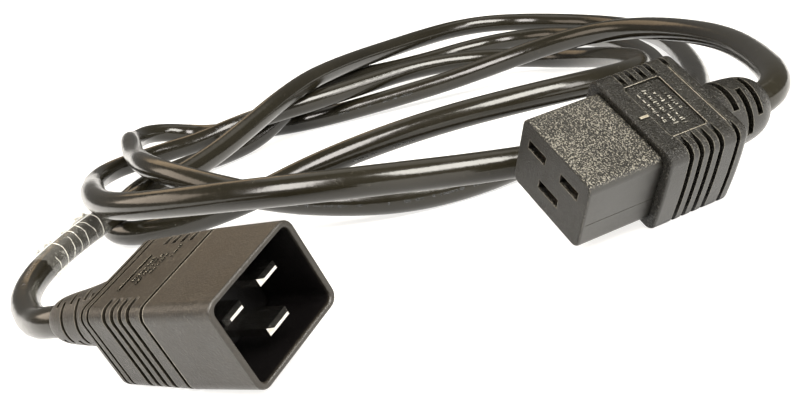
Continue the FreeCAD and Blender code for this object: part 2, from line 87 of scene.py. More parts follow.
# ------------------------------------------------------------------ materials
class Mat:
    """A small helper for node materials."""

    def __init__(self, name):
        self.m = bpy.data.materials.new(name)
        self.m.use_nodes = True
        self.t = self.m.node_tree
        self.b = self.t.nodes["Principled BSDF"]
        self.coord = self.t.nodes.new("ShaderNodeTexCoord")

    def set(self, **kw):
        for k, v in kw.items():
            k = k.replace("_", " ")
            if isinstance(v, tuple) and len(v) == 3:
                v = (*v, 1.0)
            self.b.inputs[k].default_value = v
        return self

    def node(self, kind, **kw):
        n = self.t.nodes.new(kind)
        for k, v in kw.items():
            if hasattr(n, k):
                setattr(n, k, v)
        return n

    def link(self, a, b):
        self.t.links.new(a, b)

    def noise(self, scale, detail=4.0, rough=0.55, distortion=0.0, vector=None):
        n = self.t.nodes.new("ShaderNodeTexNoise")
        n.inputs["Scale"].default_value = scale
        n.inputs["Detail"].default_value = detail
        n.inputs["Roughness"].default_value = rough
        n.inputs["Distortion"].default_value = distortion
        self.link(vector or self.coord.outputs["Object"], n.inputs["Vector"])
        return n.outputs["Fac"]

    def voronoi(self, scale, feature="F1", vector=None):
        n = self.t.nodes.new("ShaderNodeTexVoronoi")
        n.feature = feature
        n.inputs["Scale"].default_value = scale
        self.link(vector or self.coord.outputs["Object"], n.inputs["Vector"])
        return n.outputs["Distance"]

    def ramp(self, fac, stops):
        n = self.t.nodes.new("ShaderNodeValToRGB")
        e = n.color_ramp.elements
        while len(e) > 1:
            e.remove(e[-1])
        e[0].position = stops[0][0]
        e[0].color = col(stops[0][1])
        for p, c in stops[1:]:
            k = e.new(p)
            k.color = col(c)
        self.link(fac, n.inputs["Fac"])
        return n.outputs["Color"]

    def range(self, fac, a, b, lo, hi):
        n = self.t.nodes.new("ShaderNodeMapRange")
        n.inputs["From Min"].default_value = a
        n.inputs["From Max"].default_value = b
        n.inputs["To Min"].default_value = lo
        n.inputs["To Max"].default_value = hi
        self.link(fac, n.inputs["Value"])
        return n.outputs["Result"]

    def math(self, op, a, b=None, c=None):
        n = self.t.nodes.new("ShaderNodeMath")
        n.operation = op
        for i, x in enumerate((a, b, c)):
            if x is None:
                continue
            if isinstance(x, (int, float)):
                n.inputs[i].default_value = x
            else:
                self.link(x, n.inputs[i])
        return n.outputs[0]

    def mix(self, fac, a, b):
        n = self.t.nodes.new("ShaderNodeMix")
        n.data_type = "RGBA"
        for sock, x in (("Factor", fac), ("A", a), ("B", b)):
            s = [i for i in n.inputs if i.name == sock and (i.type in ("VALUE",) if sock == "Factor" else i.type == "RGBA")][0]
            if isinstance(x, tuple):
                s.default_value = col(x)
            elif isinstance(x, (int, float)):
                s.default_value = x
            else:
                self.link(x, s)
        return [o for o in n.outputs if o.type == "RGBA"][0]

    def bump(self, height, strength, distance, below=None):
        n = self.t.nodes.new("ShaderNodeBump")
        n.inputs["Strength"].default_value = strength
        n.inputs["Distance"].default_value = distance
        self.link(height, n.inputs["Height"])
        if below is not None:
            self.link(below, n.inputs["Normal"])
        return n.outputs["Normal"]

    def out(self, color=None, rough=None, normal=None, metallic=None):
        if color is not None:
            self.link(color, self.b.inputs["Base Color"])
        if rough is not None:
            self.link(rough, self.b.inputs["Roughness"])
        if normal is not None:
            self.link(normal, self.b.inputs["Normal"])
        return self.m


def col(c):
    if isinstance(c, (int, float)):
        return (c, c, c, 1.0)
    return (*c, 1.0) if len(c) == 3 else tuple(c)


def geometry(k):
    if not hasattr(k, "geo"):
        k.geo = k.node("ShaderNodeNewGeometry")
    return k.geo


def dot(k, v, direction):
    n = k.node("ShaderNodeVectorMath", operation="DOT_PRODUCT")
    k.link(v, n.inputs[0])
    n.inputs[1].default_value = tuple(direction)
    return n.outputs["Value"]


def convex_edges(k, radius, lo, hi):
    """1 along the outer edges of a moulding, 0 on its faces and in its grooves."""
    g = geometry(k)
    bev = k.node("ShaderNodeBevel", samples=8)
    bev.inputs["Radius"].default_value = radius
    d = k.node("ShaderNodeVectorMath", operation="DOT_PRODUCT")
    k.link(bev.outputs["Normal"], d.inputs[0])
    k.link(g.outputs["Normal"], d.inputs[1])
    e = k.range(d.outputs["Value"], hi, lo, 0.0, 1.0)
    ao = k.node("ShaderNodeAmbientOcclusion", samples=6)
    ao.inputs["Distance"].default_value = radius * 2.5
    return k.math("MULTIPLY", e, k.range(ao.outputs["AO"], 0.72, 0.95, 0.0, 1.0))


def open_sky(k, distance):
    """1 on open faces, falling towards 0 deep in grooves."""
    ao = k.node("ShaderNodeAmbientOcclusion", samples=6)
    ao.inputs["Distance"].default_value = distance
    return ao.outputs["AO"]


def in_frame(k, o, u, v, a, su, sv, sa):
    """Object coordinates along a connector's own axes, each scaled on its own."""
    c = k.node("ShaderNodeCombineXYZ")
    for sock, d, sc in (("X", u, su), ("Y", v, sv), ("Z", a, sa)):
        k.link(dot(k, k.coord.outputs["Object"], d * sc), c.inputs[sock])
    return c.outputs["Vector"]


def cord_material():
    """Extruded PVC jacket: warm black, semi-gloss, a little orange peel, light scuffs and dust."""
    k = Mat("cord_pvc").set(Metallic=0.0, IOR=1.5)
    big = k.noise(30.0, 3.0, 0.5)
    mid = k.noise(260.0, 4.0, 0.55)
    fine = k.noise(3000.0, 3.0, 0.6)
    scuff = k.ramp(k.noise(540.0, 6.0, 0.75, 0.8), [(0.60, 0.0), (0.74, 1.0)])
    base = k.ramp(big, [(0.3, (0.0075, 0.0064, 0.0036)), (0.7, (0.0110, 0.0096, 0.0058))])
    base = k.mix(k.math("MULTIPLY", scuff, 0.30), base, (0.085, 0.078, 0.062))
    r = k.math("ADD", k.range(mid, 0.3, 0.7, 0.14, 0.21), k.math("MULTIPLY", scuff, 0.14))
    n = k.bump(mid, 0.12, 0.0005)
    n = k.bump(fine, 0.12, 0.00004, n)
    return k.out(base, r, n)


def plastic(name, lo, hi, rough, grain_scale, grain, depth, speck, speck_scale, speck_col, edge, edge_col=(0.20, 0.18, 0.15),
            u=None, side=None, thr=(0.60, 0.52), soft=0.05, inside=None, front=None,
            spec=(0.5, 0.5, 0.5)):
    """Moulded black plastic: a mottled body, spark-eroded grain, lighter specks (partly rubbed grain, partly painted
    glints), outer edges painted paler (partly wear, partly painted highlight) and painted shade in grooves.
    side=(grain, speck, rough) for the faces that look along u."""
    k = Mat(name).set(Metallic=0.0, IOR=1.5)
    blotch = k.noise(120.0, 5.0, 0.6)
    body = k.ramp(blotch, [(0.32, lo), (0.68, hi)])
    g = k.noise(grain_scale, 5.0, 0.72)
    g2 = k.voronoi(grain_scale * 1.4)
    h = k.math("ADD", g, k.math("MULTIPLY", g2, 0.35))
    face = None
    if u is not None:
        d = k.math("ABSOLUTE", dot(k, geometry(k).outputs["Normal"], u))
        face = k.range(d, 0.55, 0.85, 0.0, 1.0)
    lift = k.noise(75.0, 4.0, 0.65)
    s = k.noise(speck_scale, 3.0, 0.6)
    cut = k.range(lift, 0.35, 0.65, thr[0], thr[1])
    # lighter specks: partly rubbed grain, partly painted glints on the grain; fewer on the faces picked by side and
    # front
    dots = k.math("MULTIPLY", k.range(k.math("SUBTRACT", s, cut), 0.0, soft, 0.0, 1.0), speck)
    if face is not None:
        dots = k.math("MULTIPLY", dots, k.range(face, 0.0, 1.0, 1.0, side[1]))
    if front is not None:
        f = k.range(k.math("ABSOLUTE", dot(k, geometry(k).outputs["Normal"], front[0])), 0.6, 0.9, 1.0, front[1])
        dots = k.math("MULTIPLY", dots, f)
    body = k.mix(dots, body, speck_col)
    gloss = k.range(dots, 0.0, 0.8, spec[0], spec[1])
    if face is not None:
        gloss = k.math("ADD", k.math("MULTIPLY", gloss, k.range(face, 0.0, 1.0, 1.0, 0.0)), k.math("MULTIPLY", face, spec[2]))
    cav = open_sky(k, 0.0016)
    k.link(k.math("MULTIPLY", gloss, k.range(cav, 0.30, 0.78, 0.04, 1.0)), k.b.inputs["Specular IOR Level"])
    # outer edges painted paler: partly wear, partly painted highlight along the rounded edges
    edge_patchiness = k.noise(900.0, 4.0, 0.7)
    e = k.math("MULTIPLY", convex_edges(k, 0.00045, 0.72, 0.985), k.range(edge_patchiness, 0.35, 0.6, 0.35, 1.0))
    body = k.mix(k.math("MULTIPLY", e, edge), body, edge_col)
    if inside is not None:
        # painted shade: the inside of a mouth or slot is painted near black, and made smoother with less sheen
        o, iu, iv, ia, hw, hh, a0, fade = inside
        rel = k.node("ShaderNodeVectorMath", operation="SUBTRACT")
        k.link(k.coord.outputs["Object"], rel.inputs[0])
        rel.inputs[1].default_value = tuple(o)
        rel = rel.outputs["Vector"]
        mu = k.range(k.math("ABSOLUTE", dot(k, rel, iu)), hw * 0.001, (hw + 0.12) * 0.001, 1.0, 0.0)
        mv = k.range(k.math("ABSOLUTE", dot(k, rel, iv)), hh * 0.001, (hh + 0.12) * 0.001, 1.0, 0.0)
        ma = k.range(dot(k, rel, ia), a0 * 0.001, (a0 + fade) * 0.001, 0.0, 1.0)
        inner = k.math("MULTIPLY", k.math("MULTIPLY", mu, mv), ma)
        body = k.mix(inner, body, (0.0025, 0.0021, 0.0022))
        sheen = k.math("MULTIPLY", gloss, k.range(cav, 0.30, 0.78, 0.04, 1.0))
        k.link(k.math("MULTIPLY", sheen, k.range(inner, 0.0, 1.0, 1.0, 0.45)), k.b.inputs["Specular IOR Level"])
    r = k.math("ADD", k.range(blotch, 0.3, 0.7, rough - 0.05, rough + 0.06), k.range(g, 0.3, 0.7, -0.05, 0.05))
    if face is not None:
        r = k.math("ADD", r, k.math("MULTIPLY", face, side[2]))
    n = k.node("ShaderNodeBump")
    if face is not None:
        k.link(k.range(face, 0.0, 1.0, grain, side[0]), n.inputs["Strength"])
    else:
        n.inputs["Strength"].default_value = grain
    # painted shade: the body is painted near black deep in grooves, following ambient occlusion
    body = k.mix(k.range(cav, 0.30, 0.78, 0.0, 1.0), (0.0012, 0.0011, 0.0008), body)
    n.inputs["Distance"].default_value = depth
    k.link(h, n.inputs["Height"])
    big = k.bump(k.noise(150.0, 3.0, 0.5), 0.10, 0.0006, n.outputs["Normal"])
    return k.out(body, r, big)


def metal(name, lo, hi, r0, r1, bump=0.05, axes=None):
    k = Mat(name).set(Metallic=1.0)
    a = k.noise(420.0, 4.0, 0.6)
    vec = in_frame(k, None, *axes, 2600.0, 2600.0, 160.0) if axes else None
    lines = k.noise(1.0 if axes else 1500.0, 3.0, 0.6, 0.0, vec)
    c = k.ramp(a, [(0.3, lo), (0.7, hi)])
    r = k.range(lines, 0.3, 0.7, r0, r1)
    return k.out(c, r, k.bump(lines, bump, 0.00002))


AX19 = (C19_U, C19_V, C19_A)
AX20 = (C20_U, C20_V, C20_A)
MAT = {}
MAT["cord"] = cord_material()
MAT["c19_block"] = plastic("c19_block", (0.0050, 0.0044, 0.0032), (0.0085, 0.0076, 0.0056), 0.34, 2400.0, 1.0, 0.00034,
                           1.0, 2500.0, (0.150, 0.140, 0.110), 0.8, (0.30, 0.275, 0.22), u=C19_U, side=(0.16, 0.03, 0.02),
                           thr=(0.530, 0.490), soft=0.085, inside=(C19_O, C19_U, C19_V, C19_A, 12.6, 9.4, 0.1, 0.7),
                           front=(C19_A, 0.10), spec=(0.30, 0.80, 0.72))
MAT["c19_grip"] = plastic("c19_grip", (0.0040, 0.0036, 0.0025), (0.0070, 0.0063, 0.0045), 0.27, 1700.0, 0.95, 0.00030,
                          0.7, 2300.0, (0.050, 0.046, 0.035), 0.75, (0.22, 0.205, 0.165), u=C19_U, side=(0.18, 0.15, 0.02),
                          thr=(0.61, 0.55), soft=0.08, spec=(0.24, 0.7, 0.60))
MAT["c20_grip"] = plastic("c20_grip", (0.009, 0.0072, 0.0050), (0.014, 0.0116, 0.0083), 0.36, 1500.0, 0.60, 0.00022,
                          0.7, 2000.0, (0.055, 0.049, 0.037), 0.85, (0.24, 0.215, 0.17), thr=(0.59, 0.53), soft=0.08)
MAT["c20_shroud"] = plastic("c20_shroud", (0.011, 0.0090, 0.0065), (0.0175, 0.0146, 0.0109), 0.37, 1500.0, 0.50, 0.00020,
                            0.5, 2000.0, (0.055, 0.049, 0.037), 1.0, (0.40, 0.37, 0.30), thr=(0.60, 0.54), soft=0.08,
                            inside=(C20_O, C20_U, C20_V, C20_A, 13.95, 10.55, 0.45, 0.8),
                            front=(C20_A, 0.2))
# the raised marks and panel lines have a light grey body: partly wear, partly painted highlight of their lit tops
MAT["c19_marks"] = plastic("c19_marks", (0.10, 0.096, 0.080), (0.22, 0.21, 0.18), 0.24, 1900.0, 0.2, 0.00006,
                           0.6, 2600.0, (0.42, 0.40, 0.34), 0.8, (0.55, 0.52, 0.45))
MAT["c20_marks"] = plastic("c20_marks", (0.06, 0.053, 0.039), (0.15, 0.132, 0.098), 0.26, 1700.0, 0.2, 0.00006,
                           0.5, 2700.0, (0.26, 0.235, 0.18), 0.8, (0.42, 0.38, 0.30))
MAT["plate"] = plastic("inner_plate", (0.012, 0.012, 0.012), (0.018, 0.018, 0.018), 0.5, 1500.0, 0.2, 0.0001, 0.0, 2500.0, (0.1, 0.1, 0.1), 0.2)
def blade(name):
    """Nickel-plated blade: fine drawn lines, a little patchy tarnish and brighter worn edges."""
    k = Mat(name).set(Metallic=1.0)
    lines = k.noise(1.0, 3.0, 0.6, 0.0, in_frame(k, None, *AX20, 2600.0, 2600.0, 160.0))
    patch = k.noise(700.0, 4.0, 0.65)
    t = k.range(patch, 0.35, 0.65, 0.25, 1.0)
    t = k.math("MINIMUM", k.math("MAXIMUM", t, convex_edges(k, 0.00018, 0.75, 0.985)), 1.0)
    c = k.mix(t, (0.45, 0.42, 0.36), (0.72, 0.71, 0.69))
    return k.out(c, k.range(lines, 0.3, 0.7, 0.14, 0.26), k.bump(lines, 0.05, 0.00002))


for part in ("line", "neutral", "earth"):
    MAT["blade_" + part] = blade("blade_nickel_" + part)
MAT["contact"] = metal("contact_brass", (0.60, 0.42, 0.17), (0.75, 0.56, 0.27), 0.24, 0.4, 0.08, AX19)
MAT["copper"] = metal("copper", (0.72, 0.33, 0.19), (0.85, 0.43, 0.27), 0.2, 0.38, 0.3)


def core_mat(name, a, b):
    k = Mat(name).set(IOR=1.5)
    n1 = k.noise(220.0, 3.0, 0.5)
    return k.out(k.ramp(n1, [(0.35, a), (0.65, b)]), k.range(n1, 0.3, 0.7, 0.3, 0.42), k.bump(k.noise(1400.0, 2.0), 0.08, 0.0001))


MAT["brown"] = core_mat("core_brown", (0.16, 0.06, 0.028), (0.22, 0.085, 0.04))
MAT["blue"] = core_mat("core_blue", (0.02, 0.10, 0.38), (0.03, 0.14, 0.48))


def green_yellow():
    k = Mat("core_green_yellow").set(IOR=1.5)
    w = k.node("ShaderNodeTexWave")
    w.inputs["Scale"].default_value = 60.0
    w.inputs["Distortion"].default_value = 0.6
    k.link(k.coord.outputs["Object"], w.inputs["Vector"])
    c = k.ramp(w.outputs["Fac"], [(0.45, (0.06, 0.30, 0.05)), (0.55, (0.80, 0.66, 0.05))])
    n1 = k.noise(900.0, 2.0)
    return k.out(c, k.range(n1, 0.3, 0.7, 0.3, 0.42), k.bump(n1, 0.06, 0.0001))


MAT["green"] = green_yellow()


def paint(node, mat):
    o = nodes[node]
    o.data.materials.clear()
    o.data.materials.append(mat)


for n in nodes:
    if n == "c19_front_block":
        paint(n, MAT["c19_block"])
    elif n == "c19_grip":
        paint(n, MAT["c19_grip"])
    elif n == "c20_grip":
        paint(n, MAT["c20_grip"])
    elif n == "c20_shroud":
        paint(n, MAT["c20_shroud"])
    elif n.endswith("contact_plate"):
        paint(n, MAT["plate"])
    elif "strands" in n:
        paint(n, MAT["copper"])
    elif "core_line" in n:
        paint(n, MAT["brown"])
    elif "core_neutral" in n:
        paint(n, MAT["blue"])
    elif "core_earth" in n:
        paint(n, MAT["green"])
    elif "blade" in n:
        paint(n, MAT["blade_" + n.split("_")[-1]])
    elif "contact" in n:
        paint(n, MAT["contact"])

# ------------------------------------------------------------------ the cord
ROUTE_MM = [
    (0, 23.2, 18.43), (0, 30.4, 18.43), (-0.95, 37.1, 18.65), (-4.37, 43.35, 19.61),
    (-12.19, 50.36, 20.24), (-24.32, 58.93, 20.08), (-40.49, 69.3, 19.7), (-60.2, 80.65, 19.53),
    (-82.82, 91.29, 19.18), (-107.19, 99.87, 18.54), (-131.7, 105.55, 18.18), (-154.99, 107.09, 17.7),
    (-176.24, 103.28, 16.44), (-194.9, 93.74, 13.94), (-210.8, 79.33, 10.47), (-224.37, 61.74, 7.49),
    (-236.58, 42.67, 6), (-248.38, 23.81, 4.91), (-260.85, 7.07, 4.32), (-274.8, -5.76, 4.38),
    (-289.99, -14.01, 4.39), (-304.64, -19.14, 4.33), (-316.23, -24.01, 4.42), (-322.71, -31.3, 6.73),
    (-324.19, -40.34, 9.8), (-320.7, -49.18, 11.78), (-312.44, -56.01, 12.25), (-299.56, -60.8, 13.93),
    (-283.52, -64.91, 17.04), (-265.45, -69.03, 18.05), (-246.47, -73.2, 17.75), (-227.22, -76.69, 18.33),
    (-208.03, -79.91, 20.2), (-188.85, -83.24, 22.23), (-169.35, -85.11, 22.92), (-149.35, -83.32, 21.66),
    (-129.1, -77.03, 18.07), (-109.55, -66.31, 12.5), (-92.37, -50.98, 7.84), (-79.36, -32.75, 4.57),
    (-72.11, -12.01, 4.32), (-71.18, 10.6, 5.75), (-76.1, 33.88, 6.56), (-86.53, 56.44, 6.14),
    (-102.05, 77.07, 5.19), (-122.08, 95.07, 4.52), (-145.66, 110.29, 4.32), (-171.45, 122.89, 4.46),
    (-198.13, 132.6, 4.88), (-224.32, 138.51, 5.35), (-248.4, 139.55, 5.85), (-268.56, 134.86, 6.44),
    (-282.91, 124.18, 7.04), (-290.14, 107.89, 7.51), (-290.23, 87.09, 8), (-284.66, 63.85, 10.27),
    (-275.82, 40.43, 13.9), (-266.47, 18.59, 15.66), (-258.96, -0.92, 11.97), (-253.62, -18.7, 5.24),
    (-248.09, -36.67, 4.32), (-239.34, -55.38, 6.57), (-226.02, -73.66, 7.64), (-209.19, -89.38, 6.55),
    (-190.94, -99.81, 4.91), (-173.1, -102.27, 4.32), (-156.39, -95.63, 4.72), (-140.54, -82.77, 6.56),
    (-125.58, -66.56, 10.67), (-111.54, -48.68, 16.71), (-98.22, -29.98, 20.59), (-86.97, -11.07, 22.47),
    (-79.22, 7.6, 22.39), (-76.3, 25.69, 21.12), (-78.91, 42.67, 18.9), (-87.18, 58.24, 16.41),
    (-100.72, 72.16, 14.11), (-118.59, 84.27, 11.86), (-139.57, 94.38, 9.63), (-162.26, 101.96, 7.47),
    (-185.06, 106.17, 5.63), (-206.22, 106.21, 5.06), (-223.97, 101.24, 6.44), (-236.87, 90.49, 9.14),
    (-244.26, 74.06, 12.03), (-246.63, 53.23, 13.9), (-245.73, 30.29, 14.22), (-244.43, 7.9, 14.48),
    (-245.7, -11.77, 14.97), (-251.43, -27.68, 13.7), (-261.33, -40.37, 10.57), (-272.06, -51.7, 9.24),
    (-278.36, -62.98, 8.29), (-277.37, -74.22, 8.54), (-269.48, -83.51, 8.7), (-254.87, -89.95, 9.54),
    (-235.39, -94.35, 11.63), (-213.36, -98.14, 14.83), (-190.73, -102.29, 18.36), (-168.47, -106.53, 21.09),
    (-146.85, -109.74, 22.49), (-125.71, -110.31, 23.5), (-104.85, -106.86, 25.01), (-84.58, -99.41, 26.2),
    (-65.99, -88.14, 26.52), (-50.29, -72.76, 25.34), (-38.88, -53.66, 22.79), (-32.79, -32.34, 18.97),
    (-32.21, -9.82, 14.76), (-36.78, 13, 10.89), (-45.99, 35.1, 7.83), (-59.31, 55.72, 5.75),
    (-76.2, 74.39, 4.66), (-95.99, 91.12, 4.34), (-117.78, 106.51, 4.36), (-140.69, 121.04, 4.37),
    (-164.28, 134.48, 4.36), (-188.32, 146.14, 4.34), (-212.52, 154.93, 4.45), (-236.29, 159.71, 4.95),
    (-258.67, 159.61, 6.23), (-278.23, 154.25, 8.54), (-293.29, 143.82, 11.67), (-302.3, 129.11, 14.88),
    (-304.44, 111.09, 16.97), (-299.93, 90.9, 18.13), (-289.98, 69.66, 19.46), (-276.29, 48.22, 21.28),
    (-260.55, 27.17, 22.89), (-244, 6.62, 23.66), (-227.37, -13.64, 21.95), (-211.39, -33.89, 18.63),
    (-196.47, -54, 15.32), (-183.06, -73.71, 13.86), (-171.23, -92.4, 13.85), (-160.36, -108.96, 12.52),
    (-149.69, -122.81, 10.62), (-138.13, -133.34, 9.19), (-125.12, -140.31, 8.05), (-111.34, -144.02, 7.61),
    (-97.99, -145.17, 7.6), (-86.41, -145.2, 8), (-77.41, -144.37, 9.35), (-70.453, -142.734, 10.51),
    (-63.172, -139.345, 11.453), (-55.911, -135.725, 12.288),
]
CORD_D = 0.0084


def nurbs(name, pts, bevel):
    cu = bpy.data.curves.new(name, "CURVE")
    cu.dimensions = "3D"
    sp = cu.splines.new("NURBS")
    sp.points.add(len(pts) - 1)
    for p, q in zip(sp.points, pts):
        p.co = (q[0], q[1], q[2], 1.0)
    sp.order_u = 3
    sp.use_endpoint_u = True
    sp.resolution_u = 8
    cu.bevel_depth = bevel
    cu.bevel_resolution = 6
    cu.use_fill_caps = True
    cu.twist_mode = "MINIMUM"
    o = bpy.data.objects.new(name, cu)
    bpy.context.collection.objects.link(o)
    return o


route = [Vector(p) * 0.001 for p in ROUTE_MM]
cord = nurbs("cord", route, CORD_D / 2)
cord.data.materials.append(MAT["cord"])
for s in cord.data.splines:
    s.use_smooth = True

# its centreline, read back from the same spline without a bevel
line_obj = nurbs("centreline", route, 0.0)
line_obj.data.splines[0].resolution_u = 16
bpy.context.view_layer.update()
dg = bpy.context.evaluated_depsgraph_get()
me = bpy.data.meshes.new_from_object(line_obj.evaluated_get(dg))
LINE = np.array([v.co[:] for v in me.vertices])
bpy.data.meshes.remove(me)
bpy.data.objects.remove(line_obj, do_unlink=True)
SEG = np.linalg.norm(np.diff(LINE, axis=0), axis=1)
ARC = np.r_[0.0, np.cumsum(SEG)]


def on_cord(s):
    """Point and direction at distance s along the centreline, in metres."""
    p = Vector([float(np.interp(s, ARC, LINE[:, k])) for k in range(3)])
    q = Vector([float(np.interp(s + 0.0008, ARC, LINE[:, k])) for k in range(3)])
    r = Vector([float(np.interp(s - 0.0008, ARC, LINE[:, k])) for k in range(3)])
    return p, (q - r).normalized()


def add_mesh(name, verts, faces, mat, smooth=True):
    me = bpy.data.meshes.new(name)
    me.from_pydata([tuple(v) for v in verts], [], faces)
    me.validate()
    me.update()
    if smooth:
        for p in me.polygons:
            p.use_smooth = True
    o = bpy.data.objects.new(name, me)
    bpy.context.collection.objects.link(o)
    if mat is not None:
        me.materials.append(mat)
    return o

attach(cord, "root")
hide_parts("cord_jacket")


def around(s):
    """A frame on the centreline: point, direction, level side and the way up."""
    p, t = on_cord(s)
    side = t.cross(Vector((0, 0, 1))).normalized()
    return p, t, side, side.cross(t).normalized()


# ------------------------------------------------------------------ the film round the cord
FILM_NEAR, FILM_FAR = 0.0840, 0.1190
FILM_PHI = math.radians(66.0)        # the torn edge lies along the upper outer side


def film_material():
    """Thin clear film: nearly invisible face on, milky where it is seen edge on or crumpled."""
    k = Mat("clear_film").set(IOR=1.46, Base_Color=(0.93, 0.92, 0.86), Specular_IOR_Level=0.6)
    n1 = k.noise(520.0, 5.0, 0.7, 1.2)
    n2 = k.noise(150.0, 3.0, 0.6, 0.4)
    crease = k.ramp(n1, [(0.55, 0.0), (0.63, 0.25), (0.70, 1.0)])
    lw = k.node("ShaderNodeLayerWeight")
    lw.inputs["Blend"].default_value = 0.25
    a = k.math("MULTIPLY", crease, k.range(n2, 0.42, 0.62, 0.02, 0.30))
    a = k.math("ADD", a, k.math("MULTIPLY", lw.outputs["Facing"], 0.05))
    a = k.math("ADD", a, 0.010)
    k.link(k.math("MINIMUM", a, 0.9), k.b.inputs["Alpha"])
    m1 = k.out(None, k.range(n1, 0.3, 0.7, 0.07, 0.24), k.bump(n2, 0.5, 0.0007, k.bump(n1, 0.5, 0.0002)))
    m1.blend_method = "BLEND"
    return m1


def fold_material():
    """The same film where it is folded double or torn: whiter, with ragged gaps."""
    k = Mat("film_folds").set(IOR=1.46, Base_Color=(0.95, 0.94, 0.86), Specular_IOR_Level=0.7)
    n1 = k.noise(900.0, 5.0, 0.75, 1.5)
    n2 = k.noise(380.0, 3.0, 0.6, 0.6)
    a = k.range(n1, 0.36, 0.62, 0.12, 0.92)
    a = k.math("MULTIPLY", a, k.range(n2, 0.30, 0.55, 0.35, 1.0))
    k.link(a, k.b.inputs["Alpha"])
    m1 = k.out(None, k.range(n1, 0.3, 0.7, 0.10, 0.35), k.bump(n1, 0.7, 0.0003))
    m1.blend_method = "BLEND"
    return m1


def film():
    s1 = ARC[-1] - FILM_FAR
    s2 = ARC[-1] - FILM_NEAR
    nu, nv = 84, 72
    verts, faces = [], []
    rr = random.Random(4)
    ph = [rr.uniform(0, 6.28) for _ in range(8)]
    for i in range(nu + 1):
        w = i / nu
        s = s1 + (s2 - s1) * w
        p, t, side, up = around(s)
        for j in range(nv + 1):
            th = 2 * math.pi * j / nv * 1.10 + FILM_PHI
            wr = 0.09 * math.sin(18 * w + 2.0 * th + ph[0]) + 0.07 * math.sin(31 * w - 3 * th + ph[1]) + 0.05 * math.sin(57 * w + 5 * th + ph[2])
            ringy = sum(math.exp(-((w - c - 0.03 * math.sin(th + c * 9)) / 0.020) ** 2) for c in (0.09, 0.32, 0.42, 0.69))
            r = 4.33 + max(0.0, 0.14 + wr) * (1.0 - 0.8 * min(1.0, ringy)) + 0.08 * j / nv
            ss = 0.0
            if i == 0:
                ss = -0.0009 * (0.5 + 0.5 * math.sin(5 * th + ph[3])) - 0.0006 * math.sin(11 * th + ph[4])
            if i == nu:
                ss = 0.0010 * (0.5 + 0.5 * math.sin(4 * th + ph[5])) + 0.0006 * math.sin(13 * th + ph[6])
            verts.append(p + t * ss + (side * math.cos(th) + up * math.sin(th)) * min(r, 4.80) * 0.001)
    for i in range(nu):
        for j in range(nv):
            a = i * (nv + 1) + j
            faces.append((a, a + 1, a + nv + 2, a + nv + 1))
    o = add_mesh("film", verts, faces, film_material())
    so = o.modifiers.new("thick", "SOLIDIFY")
    so.thickness = 0.00004
    return o


def film_folds():
    """Crisp folds across the film, and the crumpled edge that stands up along its upper side."""
    verts, faces = [], []
    rr = random.Random(9)
    end = ARC[-1]

    def strip(rows):
        n = len(rows[0])
        b = len(verts)
        for r in rows:
            verts.extend(r)
        for i in range(len(rows) - 1):
            for j in range(n - 1):
                a = b + i * n + j
                faces.append((a, a + 1, a + n + 1, a + n))

    # folds: distance from the plug end, slant, width, start and sweep round the cord
    for back, slant, width, a0, sweep in ((0.0950, 0.0009, 0.00024, 60, 185), (0.1040, 0.0007, 0.00018, 66, 165),
                                          (0.1080, 0.0010, 0.00024, 58, 180), (0.1162, 0.0009, 0.00026, 64, 180),
                                          (0.0893, -0.0007, 0.00014, 150, 80), (0.1117, -0.0009, 0.00014, 90, 120),
                                          (0.0998, 0.0016, 0.00014, 120, 100)):
        rows = []
        n = 40
        for i in range(n + 1):
            f = i / n
            th = math.radians(a0 + sweep * f)
            s = end - back + slant * (f - 0.5) * 2 + 0.00012 * math.sin(17 * f + back * 900)
            p, t, side, up = around(s)
            out = side * math.cos(th) + up * math.sin(th)
            ww = width * (0.35 + 0.65 * math.sin(math.pi * min(1.0, 0.08 + f)) ** 0.6)
            hump = 0.00016 * math.sin(math.pi * f)
            rows.append([p + t * (-ww / 2) + out * 0.00452, p + out * (0.00462 + hump), p + t * (ww / 2) + out * 0.00452])
        strip(rows)
    # the torn edge: small crumpled flaps
    for b0, b1, high, a0 in ((0.0862, 0.0985, 0.0024, 58), (0.1085, 0.1175, 0.0026, 60), (0.0990, 0.1075, 0.0009, 62), (0.0868, 0.0940, 0.0010, 215)):
        n, m2 = 34, 7
        rows = []
        for i in range(n + 1):
            f = i / n
            p, t, side, up = around(end - (b0 + (b1 - b0) * f))
            env = math.sin(math.pi * f) ** 0.7 * (0.55 + 0.45 * math.sin(13 * f + b0 * 700) * math.sin(29 * f + 1.0))
            row = []
            for j in range(m2 + 1):
                g = j / m2
                th = math.radians(a0 + 22 * g + 10 * math.sin(9 * f + 5 * g + b0 * 500) * g)
                out = side * math.cos(th) + up * math.sin(th)
                r = 0.00445 + high * max(0.05, env) * g * (1.0 + 0.25 * math.sin(23 * f + 7 * g))
                row.append(p + out * r + t * (0.00035 * math.sin(21 * f + 9 * g)))
            rows.append(row)
        strip(rows)
    o = add_mesh("film_folds", verts, faces, fold_material())
    so = o.modifiers.new("thick", "SOLIDIFY")
    so.thickness = 0.00004
    return o


# ------------------------------------------------------------------ the faint marking along the jacket
def print_material():
    k = Mat("jacket_marking").set(IOR=1.5)
    n1 = k.noise(1500.0, 4.0, 0.7)
    c = k.ramp(n1, [(0.35, (0.022, 0.023, 0.024)), (0.65, (0.070, 0.074, 0.078))])
    k.link(k.range(n1, 0.34, 0.58, 0.08, 0.65), k.b.inputs["Alpha"])
    return k.out(c, k.range(n1, 0.3, 0.7, 0.28, 0.4), k.bump(n1, 0.2, 0.00005))


